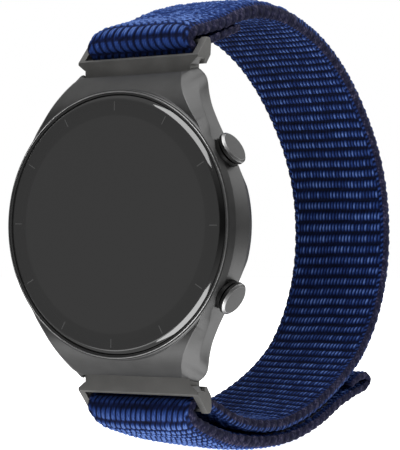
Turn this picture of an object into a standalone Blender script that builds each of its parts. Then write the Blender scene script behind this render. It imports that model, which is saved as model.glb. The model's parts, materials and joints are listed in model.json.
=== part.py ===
"""Round smartwatch on a woven hook-and-loop band, closed as if round a wrist.

Frame: metres. +X points to 3 o'clock (the buttons), +Z to 12 o'clock, and -Y out through the glass.
The origin is the middle of the flat sensor window on the case back.

The head is modelled lying on its back, heights rising from the sensor window to the glass, and an empty
stands it up. Band pieces are drawn in the side view, (y, z), and extruded across the band.
"""

import math

import bmesh
import bpy
from mathutils import Matrix, Vector

MM = 0.001
MERGE = 0.00001  # merge distance of every modifier that merges
CASE_STEPS = 72  # segments round the case
ROUND_STEPS = 48  # segments round a large turned piece
SMALL_STEPS = 20  # segments round a small turned piece
COIL_POINTS = 8  # points along one turn of a coil spring

# ---- Head: radii and heights above the sensor window
HEAD_HEIGHT = 10.9 * MM
CASE_RADIUS = 23.25 * MM
CASE_FRONT = 10.3 * MM
CASE_BACK = 1.2 * MM
BEZEL_RADIUS = 22.65 * MM
BEZEL_HEIGHT = 10.6 * MM
GLASS_RADIUS = 21.9 * MM
GLASS_THICKNESS = 1.3 * MM
GLASS_CHAMFER = (0.7 * MM, 0.5 * MM)  # across and down
SEAT_RADIUS = 22.05 * MM  # recess in the case front that holds the glass
SEAT_HEIGHT = 9.2 * MM
CAVITY_RADIUS = 20.3 * MM
CAVITY_FLOOR = 3.4 * MM
LIP_RADIUS = 18.4 * MM  # opening in the lip that the back cover closes
BACK_SEAT_RADIUS = 19.8 * MM
BACK_SEAT_HEIGHT = 2.6 * MM
WINDOW_RADIUS = 10.2 * MM
DISPLAY_RADIUS = 18.9 * MM
FRAME_RADIUS = 19.4 * MM  # plastic frame behind the display
SCREW_CIRCLE = 18.2 * MM
SCREW_ANGLES = (48, 132, 228, 312)
CLEARANCE = 0.1 * MM

# ---- Lugs
LUG_GAP = 22.2 * MM
GAP_FLOOR = 21.5 * MM  # inner end of the gap between two lugs
HOOD_ROOT = 5.1 * MM  # height of the hood's underside where the gap begins
HOOD_EDGE = 4.3 * MM  # height of its underside at the front edge
HOOD_REACH = 25.4 * MM  # distance of that edge from the middle of the head

# ---- Buttons
BUTTON_ANGLE = math.radians(30.0)
BUTTON_HEIGHT = 7.0 * MM
BUTTON_RADIUS = 2.9 * MM
BUTTON_CHAMFER = 0.25 * MM
BUTTON_SKIRT = 0.9 * MM  # height of the cap's rim
BOSS_RADIUS = 1.75 * MM
CLIP_RADIUS = 1.0 * MM
BUTTON_FACE = 25.1 * MM  # distance of the cap's face from the middle of the head
STEM_RADIUS = 0.8 * MM
GUIDE_RADIUS = 2.6 * MM
GUIDE_FLOOR = 22.3 * MM  # distance of the guide's seat from the middle of the head

# ---- Spring bars and adapters
BAR_AXIS_Y = -2.3 * MM
BAR_AXIS_Z = 23.2 * MM
BARREL_RADIUS = 0.75 * MM
BARREL_LENGTH = 21.6 * MM
TIP_RADIUS = 0.4 * MM
TIP_REACH = 12.1 * MM  # how far a tip stands from the middle of the bar
LUG_HOLE_RADIUS = 0.5 * MM
ADAPTER_WIDTH = 24.8 * MM
ADAPTER_SLOT = 22.4 * MM
ADAPTER_TONGUE = 21.8 * MM  # width of the part that stands between the lugs
OUTER_BAR_RADIUS = 0.6 * MM

# ---- Band
STRAP_WIDTH = 21.2 * MM
STRAP_THICKNESS = 2.4 * MM
STRAP_STEP = 2.2 * MM  # distance between cross-sections along the band
FOLD_STEP = 0.8 * MM  # the same where it folds
HOOK_THICKNESS = 0.3 * MM
HOOK_MARGIN = 3.0 * MM  # by how much the hook strip is narrower than the strap
TAIL_AXIS_Y = 9.0 * MM
TAIL_AXIS_Z = -36.1 * MM


def clear_scene():
    for thing in list(bpy.data.objects):
        bpy.data.objects.remove(thing, do_unlink=True)


def make_collection(name):
    collection = bpy.data.collections.new(name)
    bpy.context.scene.collection.children.link(collection)
    return collection


def make_material(name, colour, roughness, metallic):
    material = bpy.data.materials.new(name)
    material.use_nodes = True
    shader = material.node_tree.nodes["Principled BSDF"]
    shader.inputs["Base Color"].default_value = (*colour, 1.0)
    shader.inputs["Roughness"].default_value = roughness
    shader.inputs["Metallic"].default_value = metallic
    return material


def make_empty(name, location=(0.0, 0.0, 0.0), rotation=(0.0, 0.0, 0.0), parent=None):
    empty = bpy.data.objects.new(name, None)
    empty.location = location
    empty.rotation_euler = rotation
    empty.parent = parent
    PARTS.objects.link(empty)
    return empty


def add_object(name, data, finish, parent=None):
    """Link a new part; the finish is (colour, roughness, metallic)."""
    part = bpy.data.objects.new(name, data)
    part.parent = parent
    PARTS.objects.link(part)
    data.materials.append(make_material(name, *finish))
    return part


def add_cutter(name, data, parent=None):
    cutter = bpy.data.objects.new(name, data)
    cutter.parent = parent
    cutter.hide_render = True
    cutter.display_type = "WIRE"
    CUTTERS.objects.link(cutter)
    return cutter


def combine(part, other, operation):
    modifier = part.modifiers.new(operation.lower(), "BOOLEAN")
    modifier.operation = operation
    modifier.solver = "EXACT"
    modifier.object = other


def mesh_from(builder):
    """Turn a bmesh into mesh data with its faces pointing out."""
    bmesh.ops.recalc_face_normals(builder, faces=builder.faces)
    mesh = bpy.data.meshes.new("shape")
    builder.to_mesh(mesh)
    builder.free()
    return mesh


def box_mesh(low, high):
    builder = bmesh.new()
    bmesh.ops.create_cube(builder, size=1.0)
    middle = (Vector(low) + Vector(high)) / 2
    size = Vector(high) - Vector(low)
    place = Matrix.Translation(middle) @ Matrix.Diagonal((*size, 1.0))
    bmesh.ops.transform(builder, matrix=place, verts=builder.verts)
    return mesh_from(builder)


def rod_mesh(radius, start, end, steps=SMALL_STEPS):
    """A cylinder from one point to another."""
    start, end = Vector(start), Vector(end)
    builder = bmesh.new()
    turn = (end - start).to_track_quat("Z", "Y").to_matrix().to_4x4()
    place = Matrix.Translation((start + end) / 2) @ turn
    bmesh.ops.create_cone(builder, cap_ends=True, segments=steps, radius1=radius, radius2=radius,
                          depth=(end - start).length, matrix=place)
    return mesh_from(builder)


def outline_mesh(points, axis, low, high):
    """A flat outline extruded along X, Y or Z from low to high; points hold the other two coordinates."""
    builder = bmesh.new()
    spot = {"X": lambda a, b: (low, a, b), "Y": lambda a, b: (a, low, b), "Z": lambda a, b: (a, b, low)}[axis]
    face = builder.faces.new([builder.verts.new(spot(a, b)) for a, b in points])
    along = Vector([high - low if letter == axis else 0.0 for letter in "XYZ"])
    grown = bmesh.ops.extrude_face_region(builder, geom=[face])["geom"]
    bmesh.ops.translate(builder, vec=along, verts=[v for v in grown if isinstance(v, bmesh.types.BMVert)])
    return mesh_from(builder)


def turn_profile(part, steps):
    """Screw modifier that turns the part's profile round its own Z axis."""
    screw = part.modifiers.new("turn", "SCREW")
    screw.steps = steps
    screw.render_steps = steps
    screw.use_merge_vertices = True
    screw.merge_threshold = MERGE


def profile_mesh(points, closed):
    """A profile in the XZ plane as (radius, height); closed for a ring, open where it meets the axis."""
    builder = bmesh.new()
    verts = [builder.verts.new((radius, 0.0, height)) for radius, height in points]
    for first, second in zip(verts, verts[1:]):
        builder.edges.new((first, second))
    if closed:
        builder.edges.new((verts[-1], verts[0]))
    mesh = bpy.data.meshes.new("profile")
    builder.to_mesh(mesh)
    builder.free()
    return mesh


def turned(name, points, finish, parent=None, steps=ROUND_STEPS):
    """A turned part. The profile runs down the outer side, top to bottom, in millimetres."""
    scaled = [(radius * MM, height * MM) for radius, height in points]
    closed = scaled[0][0] > 0
    part = add_object(name, profile_mesh(scaled, closed), finish, parent)
    turn_profile(part, steps)
    part.data.shade_smooth()
    return part


def turned_cutter(name, points, parent=None, steps=ROUND_STEPS):
    cutter = add_cutter(name, profile_mesh(points, points[0][0] > 0), parent)
    turn_profile(cutter, steps)
    return cutter


def arc(centre, radius, start, end, steps):
    """Points on an arc, angles in degrees, in the units of centre and radius."""
    angles = [math.radians(start + (end - start) * i / steps) for i in range(steps + 1)]
    return [(centre[0] + radius * math.cos(a), centre[1] + radius * math.sin(a)) for a in angles]


def smooth_line(points, step):
    """Catmull-Rom line through points of any dimension, sampled about every step."""
    before = [2 * a - b for a, b in zip(points[0], points[1])]
    after = [2 * a - b for a, b in zip(points[-1], points[-2])]
    walk = [before, *points, after]
    line = []
    for p0, p1, p2, p3 in zip(walk, walk[1:], walk[2:], walk[3:]):
        pieces = max(1, round(math.dist(p1[:2], p2[:2]) / step))
        for i in range(pieces):
            t = i / pieces
            line.append([0.5 * (2 * b + (c - a) * t + (2 * a - 5 * b + 4 * c - d) * t * t
                         + (3 * b - a - 3 * c + d) * t ** 3) for a, b, c, d in zip(p0, p1, p2, p3)])
    line.append(list(points[-1]))
    return line


def band(name, points, finish, parent=None, width=STRAP_WIDTH, step=STRAP_STEP):
    """A stretch of strap: (y, z, thickness) points in millimetres along its middle, extruded across."""
    line = smooth_line([[value * MM for value in point] for point in points], step)
    left, right = [], []
    for i, (y, z, thickness) in enumerate(line):
        before, after = line[max(i - 1, 0)], line[min(i + 1, len(line) - 1)]
        along = Vector((after[0] - before[0], after[1] - before[1])).normalized()
        side = Vector((-along.y, along.x)) * (thickness / 2)
        left.append((y + side.x, z + side.y))
        right.append((y - side.x, z - side.y))
    mesh = outline_mesh(left + right[::-1], "X", -width / 2, width / 2)
    part = add_object(name, mesh, finish, parent)
    if parent:
        part.matrix_parent_inverse = (Matrix.Translation(parent.location)
                                      @ parent.rotation_euler.to_matrix().to_4x4()).inverted()
    return part


# ---- Finishes: colour, roughness, metallic
GUNMETAL = ((0.09, 0.09, 0.09), 0.35, 0.9)
BRIGHT_METAL = ((0.5, 0.5, 0.5), 0.2, 1.0)
BLACK_GLASS = ((0.03, 0.03, 0.03), 0.08, 0.0)
BLACK_METAL = ((0.06, 0.06, 0.055), 0.45, 0.8)
BLACK_PLASTIC = ((0.02, 0.02, 0.02), 0.5, 0.0)
BLACK_RUBBER = ((0.015, 0.015, 0.015), 0.8, 0.0)
STEEL = ((0.6, 0.6, 0.6), 0.3, 1.0)
GOLD = ((0.8, 0.6, 0.25), 0.25, 1.0)
BOARD_GREEN = ((0.01, 0.08, 0.03), 0.5, 0.0)
CELL_SILVER = ((0.5, 0.5, 0.52), 0.4, 0.7)
BLUE_NYLON = ((0.03, 0.07, 0.3), 0.8, 0.0)
GREY_NYLON = ((0.04, 0.035, 0.055), 0.85, 0.0)


def lug_slab():
    """Side view of both lug pairs, (z, height), sloping from the bezel down to the rounded tips."""
    tip = arc((24.3 * MM, 3.6 * MM), 1.8 * MM, 40, -80, 6)
    front, back = CASE_FRONT - CLEARANCE, CASE_BACK + CLEARANCE
    upper = [(17.0 * MM, front), (22.3 * MM, front), *tip, (21.0 * MM, back)]
    lower = [(-z, height) for z, height in reversed(upper)]
    return [*upper, *lower]


def lug_outline():
    """Front view of the head with its lugs, (x, z), one quarter mirrored twice."""
    tip = arc((13.2 * MM, 24.0 * MM), 2.1 * MM, 0, 80, 5)
    flank = [(20.2, 11.0), (18.3, 15.0), (16.9, 18.2), (15.9, 21.2)]
    right_top = [*[(x * MM, z * MM) for x, z in flank], *tip]
    left_top = [(-x, z) for x, z in reversed(right_top)]
    bottom = [(-x, -z) for x, z in [*right_top, *left_top]]
    return [*right_top, *left_top, *bottom]


def button_frame(side, head):
    """Empty at the head's middle whose Z axis runs out along a button; side is +1 above, -1 below."""
    return make_empty(f"button_axis_{'upper' if side > 0 else 'lower'}", (0.0, 0.0, BUTTON_HEIGHT),
                      (0.0, math.pi / 2, side * BUTTON_ANGLE), head)


def lug_gap(side):
    """Side view of the gap between two lugs, (z, height): under the sloping hood, and on past its edge."""
    low, top, far = -1 * MM, HEAD_HEIGHT, 30 * MM
    outline = [(GAP_FLOOR, low), (GAP_FLOOR, HOOD_ROOT), (HOOD_REACH, HOOD_EDGE), (HOOD_REACH, top), (far, top),
               (far, low)]
    return [(side * z, height) for z, height in outline]


def build_case(head, button_frames):
    front, back = CASE_FRONT / MM, CASE_BACK / MM
    case_points = [(0.0, front), (22.7, front), (CASE_RADIUS / MM, 9.2), (CASE_RADIUS / MM, 5.0), (21.9, 2.0),
                   (21.0, back), (0.0, back)]
    case = turned("case", case_points, GUNMETAL, head, CASE_STEPS)
    slab = add_cutter("lug_slab", outline_mesh(lug_slab(), "X", -CASE_RADIUS, CASE_RADIUS), head)
    outline = add_cutter("lug_outline", outline_mesh(lug_outline(), "Z", 0.0, HEAD_HEIGHT), head)
    combine(slab, outline, "INTERSECT")
    combine(case, slab, "UNION")
    cavity = [(0.0, 12 * MM), (SEAT_RADIUS, 12 * MM), (SEAT_RADIUS, SEAT_HEIGHT), (CAVITY_RADIUS, SEAT_HEIGHT),
              (CAVITY_RADIUS, CAVITY_FLOOR), (LIP_RADIUS, CAVITY_FLOOR), (LIP_RADIUS, BACK_SEAT_HEIGHT),
              (BACK_SEAT_RADIUS, BACK_SEAT_HEIGHT), (BACK_SEAT_RADIUS, 0.0), (0.0, 0.0)]
    combine(case, turned_cutter("cavity", cavity, head), "DIFFERENCE")
    for side, word in ((1, "upper"), (-1, "lower")):
        gap = outline_mesh(lug_gap(side), "X", -LUG_GAP / 2, LUG_GAP / 2)
        combine(case, add_cutter(f"{word}_gap", gap, head), "DIFFERENCE")
        for hand, letter in ((1, "right"), (-1, "left")):
            hole = rod_mesh(LUG_HOLE_RADIUS, (hand * 10 * MM, side * BAR_AXIS_Z, -BAR_AXIS_Y),
                            (hand * 12.7 * MM, side * BAR_AXIS_Z, -BAR_AXIS_Y), 16)
            combine(case, add_cutter(f"{word}_{letter}_lug_hole", hole, head), "DIFFERENCE")
    for frame, word in zip(button_frames, ("upper", "lower")):
        mouth, neck = GUIDE_RADIUS + CLEARANCE / 2, STEM_RADIUS + CLEARANCE
        bore = [(0.0, 30 * MM), (mouth, 30 * MM), (mouth, GUIDE_FLOOR), (neck, GUIDE_FLOOR), (neck, 18 * MM),
                (0.0, 18 * MM)]
        combine(case, turned_cutter(f"{word}_button_bore", bore, frame, 28), "DIFFERENCE")
    for number, spot in enumerate(screw_spots(), start=1):
        boss = rod_mesh(1.5 * MM, (*spot, BACK_SEAT_HEIGHT + CLEARANCE), (*spot, 5 * MM), 20)
        combine(case, add_cutter(f"boss_{number}", boss, head), "UNION")
        hole = rod_mesh(0.5 * MM, (*spot, 1 * MM), (*spot, 4.6 * MM), 12)
        combine(case, add_cutter(f"boss_hole_{number}", hole, head), "DIFFERENCE")
    return case


def screw_spots():
    angles = [math.radians(angle) for angle in SCREW_ANGLES]
    return [(SCREW_CIRCLE * math.cos(angle), SCREW_CIRCLE * math.sin(angle)) for angle in angles]


def build_front(head):
    outer, top = BEZEL_RADIUS / MM, BEZEL_HEIGHT / MM
    ring = [(22.15, top), (outer - 0.1, top), (outer, 10.35), (22.15, 10.35)]
    turned("bezel_ring", ring, BRIGHT_METAL, head)
    top, edge = HEAD_HEIGHT / MM, GLASS_RADIUS / MM
    bottom = top - GLASS_THICKNESS / MM
    across, down = (size / MM for size in GLASS_CHAMFER)
    turned("cover_glass", [(0, top), (edge - across, top), (edge, top - down), (edge, bottom), (0, bottom)],
           BLACK_GLASS, head)
    turned("glass_gasket", [(20.7, 9.5), (21.8, 9.5), (21.8, 9.3), (20.7, 9.3)], BLACK_RUBBER, head)
    edge = DISPLAY_RADIUS / MM
    turned("display_panel", [(0, 9.5), (edge, 9.5), (edge, 8.8), (0, 8.8)], BLACK_GLASS, head)
    edge = FRAME_RADIUS / MM
    frame = turned("display_frame", [(0, 8.6), (edge, 8.6), (edge, 8.1), (0, 8.1)], BLACK_PLASTIC, head)
    flex_slot = box_mesh((-5 * MM, -18 * MM, 7 * MM), (5 * MM, -15 * MM, 10 * MM))
    combine(frame, add_cutter("display_flex_slot", flex_slot, head), "DIFFERENCE")


def build_inside(head):
    board = turned("main_board", [(0, 7.8), (19.6, 7.8), (19.6, 7.0), (0, 7.0)], BOARD_GREEN, head)
    side_cut = box_mesh((13.2 * MM, -21 * MM, 6 * MM), (21 * MM, 21 * MM, 9 * MM))
    combine(board, add_cutter("board_side_cut", side_cut, head), "DIFFERENCE")
    cell = [(0, 6.7), (11.9, 6.7), (12.2, 6.4), (12.2, 3.6), (11.9, 3.3), (0, 3.3)]
    turned("battery", cell, CELL_SILVER, head)
    motor = turned("vibration_motor", [(0, 6.6), (3.3, 6.6), (3.3, 3.9), (0, 3.9)], STEEL, head, SMALL_STEPS)
    motor.location = (0.0, 16.0 * MM, 0.0)
    speaker = box_mesh((-5.5 * MM, -18.9 * MM, 3.7 * MM), (5.5 * MM, -13.2 * MM, 6.7 * MM))
    add_object("speaker", speaker, BLACK_PLASTIC, head)
    microphone = box_mesh((-17.5 * MM, -1.5 * MM, 5.8 * MM), (-14.5 * MM, 1.5 * MM, 6.8 * MM))
    add_object("microphone", microphone, CELL_SILVER, head)


def build_back(head):
    cover_points = [(11.5, 2.3), (19.6, 2.3), (19.6, 1.1), (18.6, 0.75), (11.0, 0.3), (10.4, 0.3),
                    (10.4, 1.55), (11.5, 1.55)]
    cover = turned("back_cover", cover_points, GUNMETAL, head)
    for number, spot in enumerate(screw_spots(), start=1):
        sink = rod_mesh(1.0 * MM, (*spot, 0.0), (*spot, 1.65 * MM), 20)
        combine(cover, add_cutter(f"sink_{number}", sink, head), "DIFFERENCE")
        hole = rod_mesh(0.5 * MM, (*spot, 1.0 * MM), (*spot, 3.0 * MM), 12)
        combine(cover, add_cutter(f"cover_hole_{number}", hole, head), "DIFFERENCE")
        screw_points = [(0, 4.3), (0.4, 4.3), (0.4, 1.55), (0.9, 1.55), (0.9, 1.0), (0.3, 1.0), (0.3, 1.25),
                        (0, 1.25)]
        screw = turned(f"back_screw_{number}", screw_points, STEEL, head, 16)
        screw.location = (*spot, 0.0)
    turned("back_gasket", [(18.6, 2.55), (19.3, 2.55), (19.3, 2.35), (18.6, 2.35)], BLACK_RUBBER, head)
    window = WINDOW_RADIUS / MM
    window_points = [(0, 2.2), (window + 1.1, 2.2), (window + 1.1, 1.65), (window, 1.65), (window, 0.3),
                     (window - 0.8, 0), (0, 0)]
    turned("sensor_window", window_points, BLACK_GLASS, head)
    turned("sensor_board", [(0, 2.9), (9.0, 2.9), (9.0, 2.3), (0, 2.3)], BOARD_GREEN, head, 48)
    for hand, word in ((-1, "left"), (1, "right")):
        spot = Vector((hand * 3.0 * MM, -14.5 * MM, 0.0))
        hole = rod_mesh(1.0 * MM, spot, spot + Vector((0, 0, 3 * MM)), 20)
        combine(cover, add_cutter(f"contact_hole_{word}", hole, head), "DIFFERENCE")
        pin = [(0, 3.0), (0.9, 3.0), (0.9, 0.5), (0, 0.5)]
        contact = turned(f"charge_contact_{word}", pin, GOLD, head, 20)
        contact.location = spot


def build_button(word, frame):
    """One push button, modelled outward along the frame's Z axis from the head's middle."""
    face, rim, bevel = BUTTON_FACE / MM, BUTTON_RADIUS / MM, BUTTON_CHAMFER / MM
    under, boss, stem = face - BUTTON_SKIRT / MM, BOSS_RADIUS / MM, STEM_RADIUS / MM
    cap_points = [(0, face), (rim - bevel, face), (rim, face - bevel), (rim, under), (boss, under),
                  (boss, 23.75), (boss - 0.25, 23.72), (boss - 0.25, 23.4), (boss, 23.37), (boss, 23.3),
                  (stem, 23.3), (stem, 20.2), (stem - 0.25, 20.15), (stem - 0.25, 19.85), (stem, 19.8),
                  (stem, 19.4), (0, 19.4)]
    turned(f"{word}_button_cap", cap_points, GUNMETAL, frame, 28)
    sleeve, floor = GUIDE_RADIUS / MM, GUIDE_FLOOR / MM + 0.1
    guide_points = [(2.05, 23.8), (sleeve, 23.8), (sleeve, floor), (0.95, floor), (0.95, floor + 0.3),
                    (2.05, floor + 0.3)]
    turned(f"{word}_button_guide", guide_points, BLACK_PLASTIC, frame, 28)
    ring = [(boss + 0.03 + r, 23.56 + h) for r, h in arc((0.0, 0.0), 0.14, 90, -210, 5)]
    turned(f"{word}_button_oring", ring, BLACK_RUBBER, frame, SMALL_STEPS)
    edge = CLIP_RADIUS / MM
    clip_points = [(0.6, 20.1), (edge, 20.1), (edge, 19.9), (0.6, 19.9)]
    clip = turned(f"{word}_button_clip", clip_points, STEEL, frame, 20)
    mouth = box_mesh((0.0, -0.5 * MM, 19 * MM), (2 * MM, 0.5 * MM, 21 * MM))
    combine(clip, add_cutter(f"{word}_clip_mouth", mouth, frame), "DIFFERENCE")
    switch = box_mesh((-0.9 * MM, -1.6 * MM, 17.0 * MM), (1.3 * MM, 1.6 * MM, 18.4 * MM))
    switch = add_object(f"{word}_switch", switch, BLACK_PLASTIC, frame)
    plunger = rod_mesh(0.5 * MM, (0, 0, 18 * MM), (0, 0, 18.9 * MM), 16)
    combine(switch, add_cutter(f"{word}_switch_plunger", plunger, frame), "UNION")
    build_coil(f"{word}_button_spring", 1.35 * MM, 0.06 * MM, 22.8 * MM, 23.2 * MM, 2, frame)


def build_coil(name, radius, wire, low, high, turns, parent):
    """A coil spring round the parent's Z axis."""
    curve = bpy.data.curves.new(name, "CURVE")
    curve.dimensions = "3D"
    curve.bevel_depth = wire
    curve.bevel_resolution = 0
    curve.use_fill_caps = True
    spline = curve.splines.new("POLY")
    count = turns * COIL_POINTS + 1
    spline.points.add(count - 1)
    for i, point in enumerate(spline.points):
        angle = math.tau * i / COIL_POINTS
        height = low + (high - low) * i / (count - 1)
        point.co = (radius * math.cos(angle), radius * math.sin(angle), height, 1.0)
    return add_object(name, curve, STEEL, parent)


def build_spring_bar(word, side):
    """Spring bar across one lug gap, modelled along the Z axis of an empty that points to +X."""
    frame = make_empty(f"{word}_bar_axis", (0.0, BAR_AXIS_Y, side * BAR_AXIS_Z), (0.0, math.pi / 2, 0.0))
    half, radius, reach = BARREL_LENGTH / 2 / MM, BARREL_RADIUS / MM, TIP_REACH / MM
    barrel = [(0.62, half - 0.5), (0.47, half - 0.4), (0.47, half), (radius, half), (radius, -half),
              (0.47, -half), (0.47, -half + 0.4), (0.62, -half + 0.5)]
    turned(f"{word}_bar_barrel", barrel, STEEL, frame, SMALL_STEPS)
    pin = TIP_RADIUS / MM
    tip = [(0, reach), (pin - 0.1, reach), (pin, reach - 0.1), (pin, half - 0.55), (0.56, half - 0.65),
           (0.56, half - 1.6), (0, half - 1.6)]
    turned(f"{word}_bar_tip_right", tip, STEEL, frame, 16)
    left = turned(f"{word}_bar_tip_left", tip, STEEL, frame, 16)
    left.rotation_euler = (math.pi, 0.0, 0.0)
    stop = (half - 1.75) * MM
    build_coil(f"{word}_bar_spring", 0.45 * MM, 0.09 * MM, -stop, stop, 9, frame)


def build_adapter(word, side):
    """Black metal adapter: a tongue on the spring bar, two arms, and the bar that the strap folds round."""
    def mirrored(points):
        return [(y * MM, side * z * MM) for y, z in points]
    frame = make_empty(f"{word}_adapter_axis", (0.0, BAR_AXIS_Y, side * BAR_AXIS_Z))
    root = [(y / MM, z / MM) for y, z in arc((BAR_AXIS_Y, BAR_AXIS_Z), 1.4 * MM, 180, 360, 10)]
    tongue = [*root, (-0.9, 27.4), (-0.9, 27.6), (-1.9, 28.9), (-3.6, 28.9)]
    half = ADAPTER_TONGUE / 2
    adapter = add_object(f"{word}_adapter", outline_mesh(mirrored(tongue), "X", -half, half), BLACK_METAL)
    crossbar = [(-3.7, 27.1), (-0.9, 27.3), (-0.9, 27.6), (-1.9, 28.9), (-3.6, 28.9)]
    half = ADAPTER_WIDTH / 2
    bar_mesh = outline_mesh(mirrored(crossbar), "X", -half, half)
    combine(adapter, add_cutter(f"{word}_crossbar", bar_mesh), "UNION")
    arm = [(-3.7, 27.1), (-0.9, 27.3), (0.4, 28.9), (0.6, 31.0), (0.2, 31.8), (-0.7, 31.9), (-3.6, 28.9)]
    for hand, letter in ((1, "right"), (-1, "left")):
        low, high = sorted((hand * ADAPTER_SLOT / 2, hand * half))
        shape = outline_mesh(mirrored(arm), "X", low, high)
        combine(adapter, add_cutter(f"{word}_arm_{letter}", shape), "UNION")
    reach = half - 0.4 * MM
    spot = (-0.4 * MM, side * 31.05 * MM)
    bar = rod_mesh(OUTER_BAR_RADIUS, (-reach, *spot), (reach, *spot), 16)
    combine(adapter, add_cutter(f"{word}_outer_bar", bar), "UNION")
    axle = (BAR_AXIS_Y, side * BAR_AXIS_Z)
    bore = rod_mesh(0.85 * MM, (-half, *axle), (half, *axle), 24)
    combine(adapter, add_cutter(f"{word}_adapter_bore", bore), "DIFFERENCE")
    adapter.parent = frame
    adapter.matrix_parent_inverse = Matrix.Translation(frame.location).inverted()
    return frame


def build_strap(upper_frame, lower_frame):
    """The strap as worn, in stretches that meet at the places where it bends in use."""
    full = STRAP_THICKNESS / MM
    band("upper_strap_fold", [(13.3, 35.2, 1.4), (8.0, 33.8, 1.4), (3.4, 31.7, 1.4), (0.4, 29.7, 1.4),
         (-1.5, 29.7, 1.4), (-2.7, 30.9, 1.6), (-2.2, 32.2, 1.8), (-0.6, 33.2, 2.0), (2.9, 34.7, full),
         (8.0, 36.3, full), (13.3, 37.5, full)], BLUE_NYLON, upper_frame, step=FOLD_STEP)
    band("upper_strap_flex", [(13.6, 37.6, full), (20.0, 38.6, full), (26.7, 38.9, full)], BLUE_NYLON)
    loop = [(27.0, 38.9), (33.5, 38.1), (42.5, 35.6), (51.0, 31.2), (58.5, 25.1), (65.3, 17.0), (69.3, 8.5),
            (70.5, 0.0), (69.4, -8.5), (65.6, -16.7), (60.0, -23.0), (53.5, -27.2), (46.0, -30.6),
            (38.0, -32.8), (29.5, -34.3), (24.0, -34.5), (18.6, -34.1)]
    band("strap_loop", [(y, z, full) for y, z in loop], BLUE_NYLON)
    band("lower_strap_flex", [(18.3, -34.1, full), (12.0, -32.9, full), (7.0, -31.3, full)], BLUE_NYLON)
    band("lower_strap_fold", [(6.7, -31.2, full), (3.0, -29.9, 2.0), (0.5, -29.3, 1.4), (-1.5, -29.7, 1.4),
         (-2.7, -30.9, 1.6), (-2.1, -32.2, 1.9), (-0.5, -33.4, full), (1.6, -34.2, full), (4.8, -35.1, full)],
         BLUE_NYLON, lower_frame, step=FOLD_STEP)
    band("tail_flex", [(5.1, -35.2, full), (9.0, -36.1, full), (12.7, -36.7, full)], BLUE_NYLON)
    tail_frame = make_empty("tail_axis", (0.0, TAIL_AXIS_Y, TAIL_AXIS_Z))
    tail = [(13.0, -36.8), (19.1, -37.6), (27.4, -37.9), (34.1, -37.4), (41.3, -35.6), (48.5, -33.0),
            (51.0, -32.2)]
    band("strap_tail", [(y, z, full) for y, z in tail], BLUE_NYLON, tail_frame)
    hooks = [(24.0, -36.45), (29.0, -36.4), (33.8, -36.0), (40.8, -34.25), (48.0, -31.65)]
    band("hook_patch", [(y, z, HOOK_THICKNESS / MM) for y, z in hooks], GREY_NYLON, tail_frame,
         STRAP_WIDTH - HOOK_MARGIN)
    band("tail_tab", [(51.3, -31.9, 1.6), (56.5, -30.9, 1.5), (60.8, -30.0, 1.5), (62.0, -28.9, 1.5),
         (61.2, -27.9, 1.5), (58.5, -28.1, 1.4), (54.5, -29.5, 1.2)], GREY_NYLON, tail_frame, step=FOLD_STEP)


clear_scene()
PARTS = make_collection("smartwatch_with_band")
CUTTERS = make_collection("cutters")


def main():
    head = make_empty("head", rotation=(math.pi / 2, 0.0, 0.0))
    button_frames = [button_frame(1, head), button_frame(-1, head)]
    build_case(head, button_frames)
    build_front(head)
    build_inside(head)
    build_back(head)
    for frame, word in zip(button_frames, ("upper", "lower")):
        build_button(word, frame)
    build_spring_bar("upper", 1)
    build_spring_bar("lower", -1)
    build_strap(build_adapter("upper", 1), build_adapter("lower", -1))
    bpy.context.view_layer.update()


main()
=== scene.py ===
"""Looks of a round smartwatch on its woven hook-and-loop band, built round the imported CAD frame.

Pieces are drawn in millimetres and made in metres. The head is drawn lying on its back, as (x, z, height),
where height is the distance in front of the sensor window, so a point is (x, -height, z) in the row frame.
"""

import json
import math

import bmesh
import bpy
import numpy as np
from mathutils import Matrix, Vector


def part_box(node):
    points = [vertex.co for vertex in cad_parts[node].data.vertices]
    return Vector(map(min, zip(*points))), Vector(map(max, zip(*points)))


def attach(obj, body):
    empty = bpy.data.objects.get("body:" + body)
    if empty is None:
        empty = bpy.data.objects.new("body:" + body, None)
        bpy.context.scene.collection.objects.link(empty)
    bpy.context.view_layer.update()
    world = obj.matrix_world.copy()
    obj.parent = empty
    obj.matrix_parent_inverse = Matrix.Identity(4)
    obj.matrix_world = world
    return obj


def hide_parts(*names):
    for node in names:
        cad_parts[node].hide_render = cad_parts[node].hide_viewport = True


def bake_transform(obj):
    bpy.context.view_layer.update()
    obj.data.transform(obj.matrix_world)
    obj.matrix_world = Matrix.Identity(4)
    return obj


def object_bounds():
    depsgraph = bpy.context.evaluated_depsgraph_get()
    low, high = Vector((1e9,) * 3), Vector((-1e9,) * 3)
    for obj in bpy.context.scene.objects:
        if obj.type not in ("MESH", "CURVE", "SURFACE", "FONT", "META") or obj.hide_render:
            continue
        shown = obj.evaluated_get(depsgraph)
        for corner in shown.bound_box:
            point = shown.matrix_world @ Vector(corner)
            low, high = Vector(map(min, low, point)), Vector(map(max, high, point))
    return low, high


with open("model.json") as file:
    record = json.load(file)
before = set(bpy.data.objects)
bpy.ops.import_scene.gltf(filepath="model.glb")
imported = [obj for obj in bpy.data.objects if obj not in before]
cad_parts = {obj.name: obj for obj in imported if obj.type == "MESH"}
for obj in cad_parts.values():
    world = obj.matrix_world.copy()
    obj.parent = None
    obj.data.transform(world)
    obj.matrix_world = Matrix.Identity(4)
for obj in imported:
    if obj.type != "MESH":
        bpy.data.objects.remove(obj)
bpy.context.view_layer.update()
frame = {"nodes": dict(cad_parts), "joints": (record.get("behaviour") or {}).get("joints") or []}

MM = 0.001


def low(node):
    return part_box(node)[0] / MM


def high(node):
    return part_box(node)[1] / MM


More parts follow.
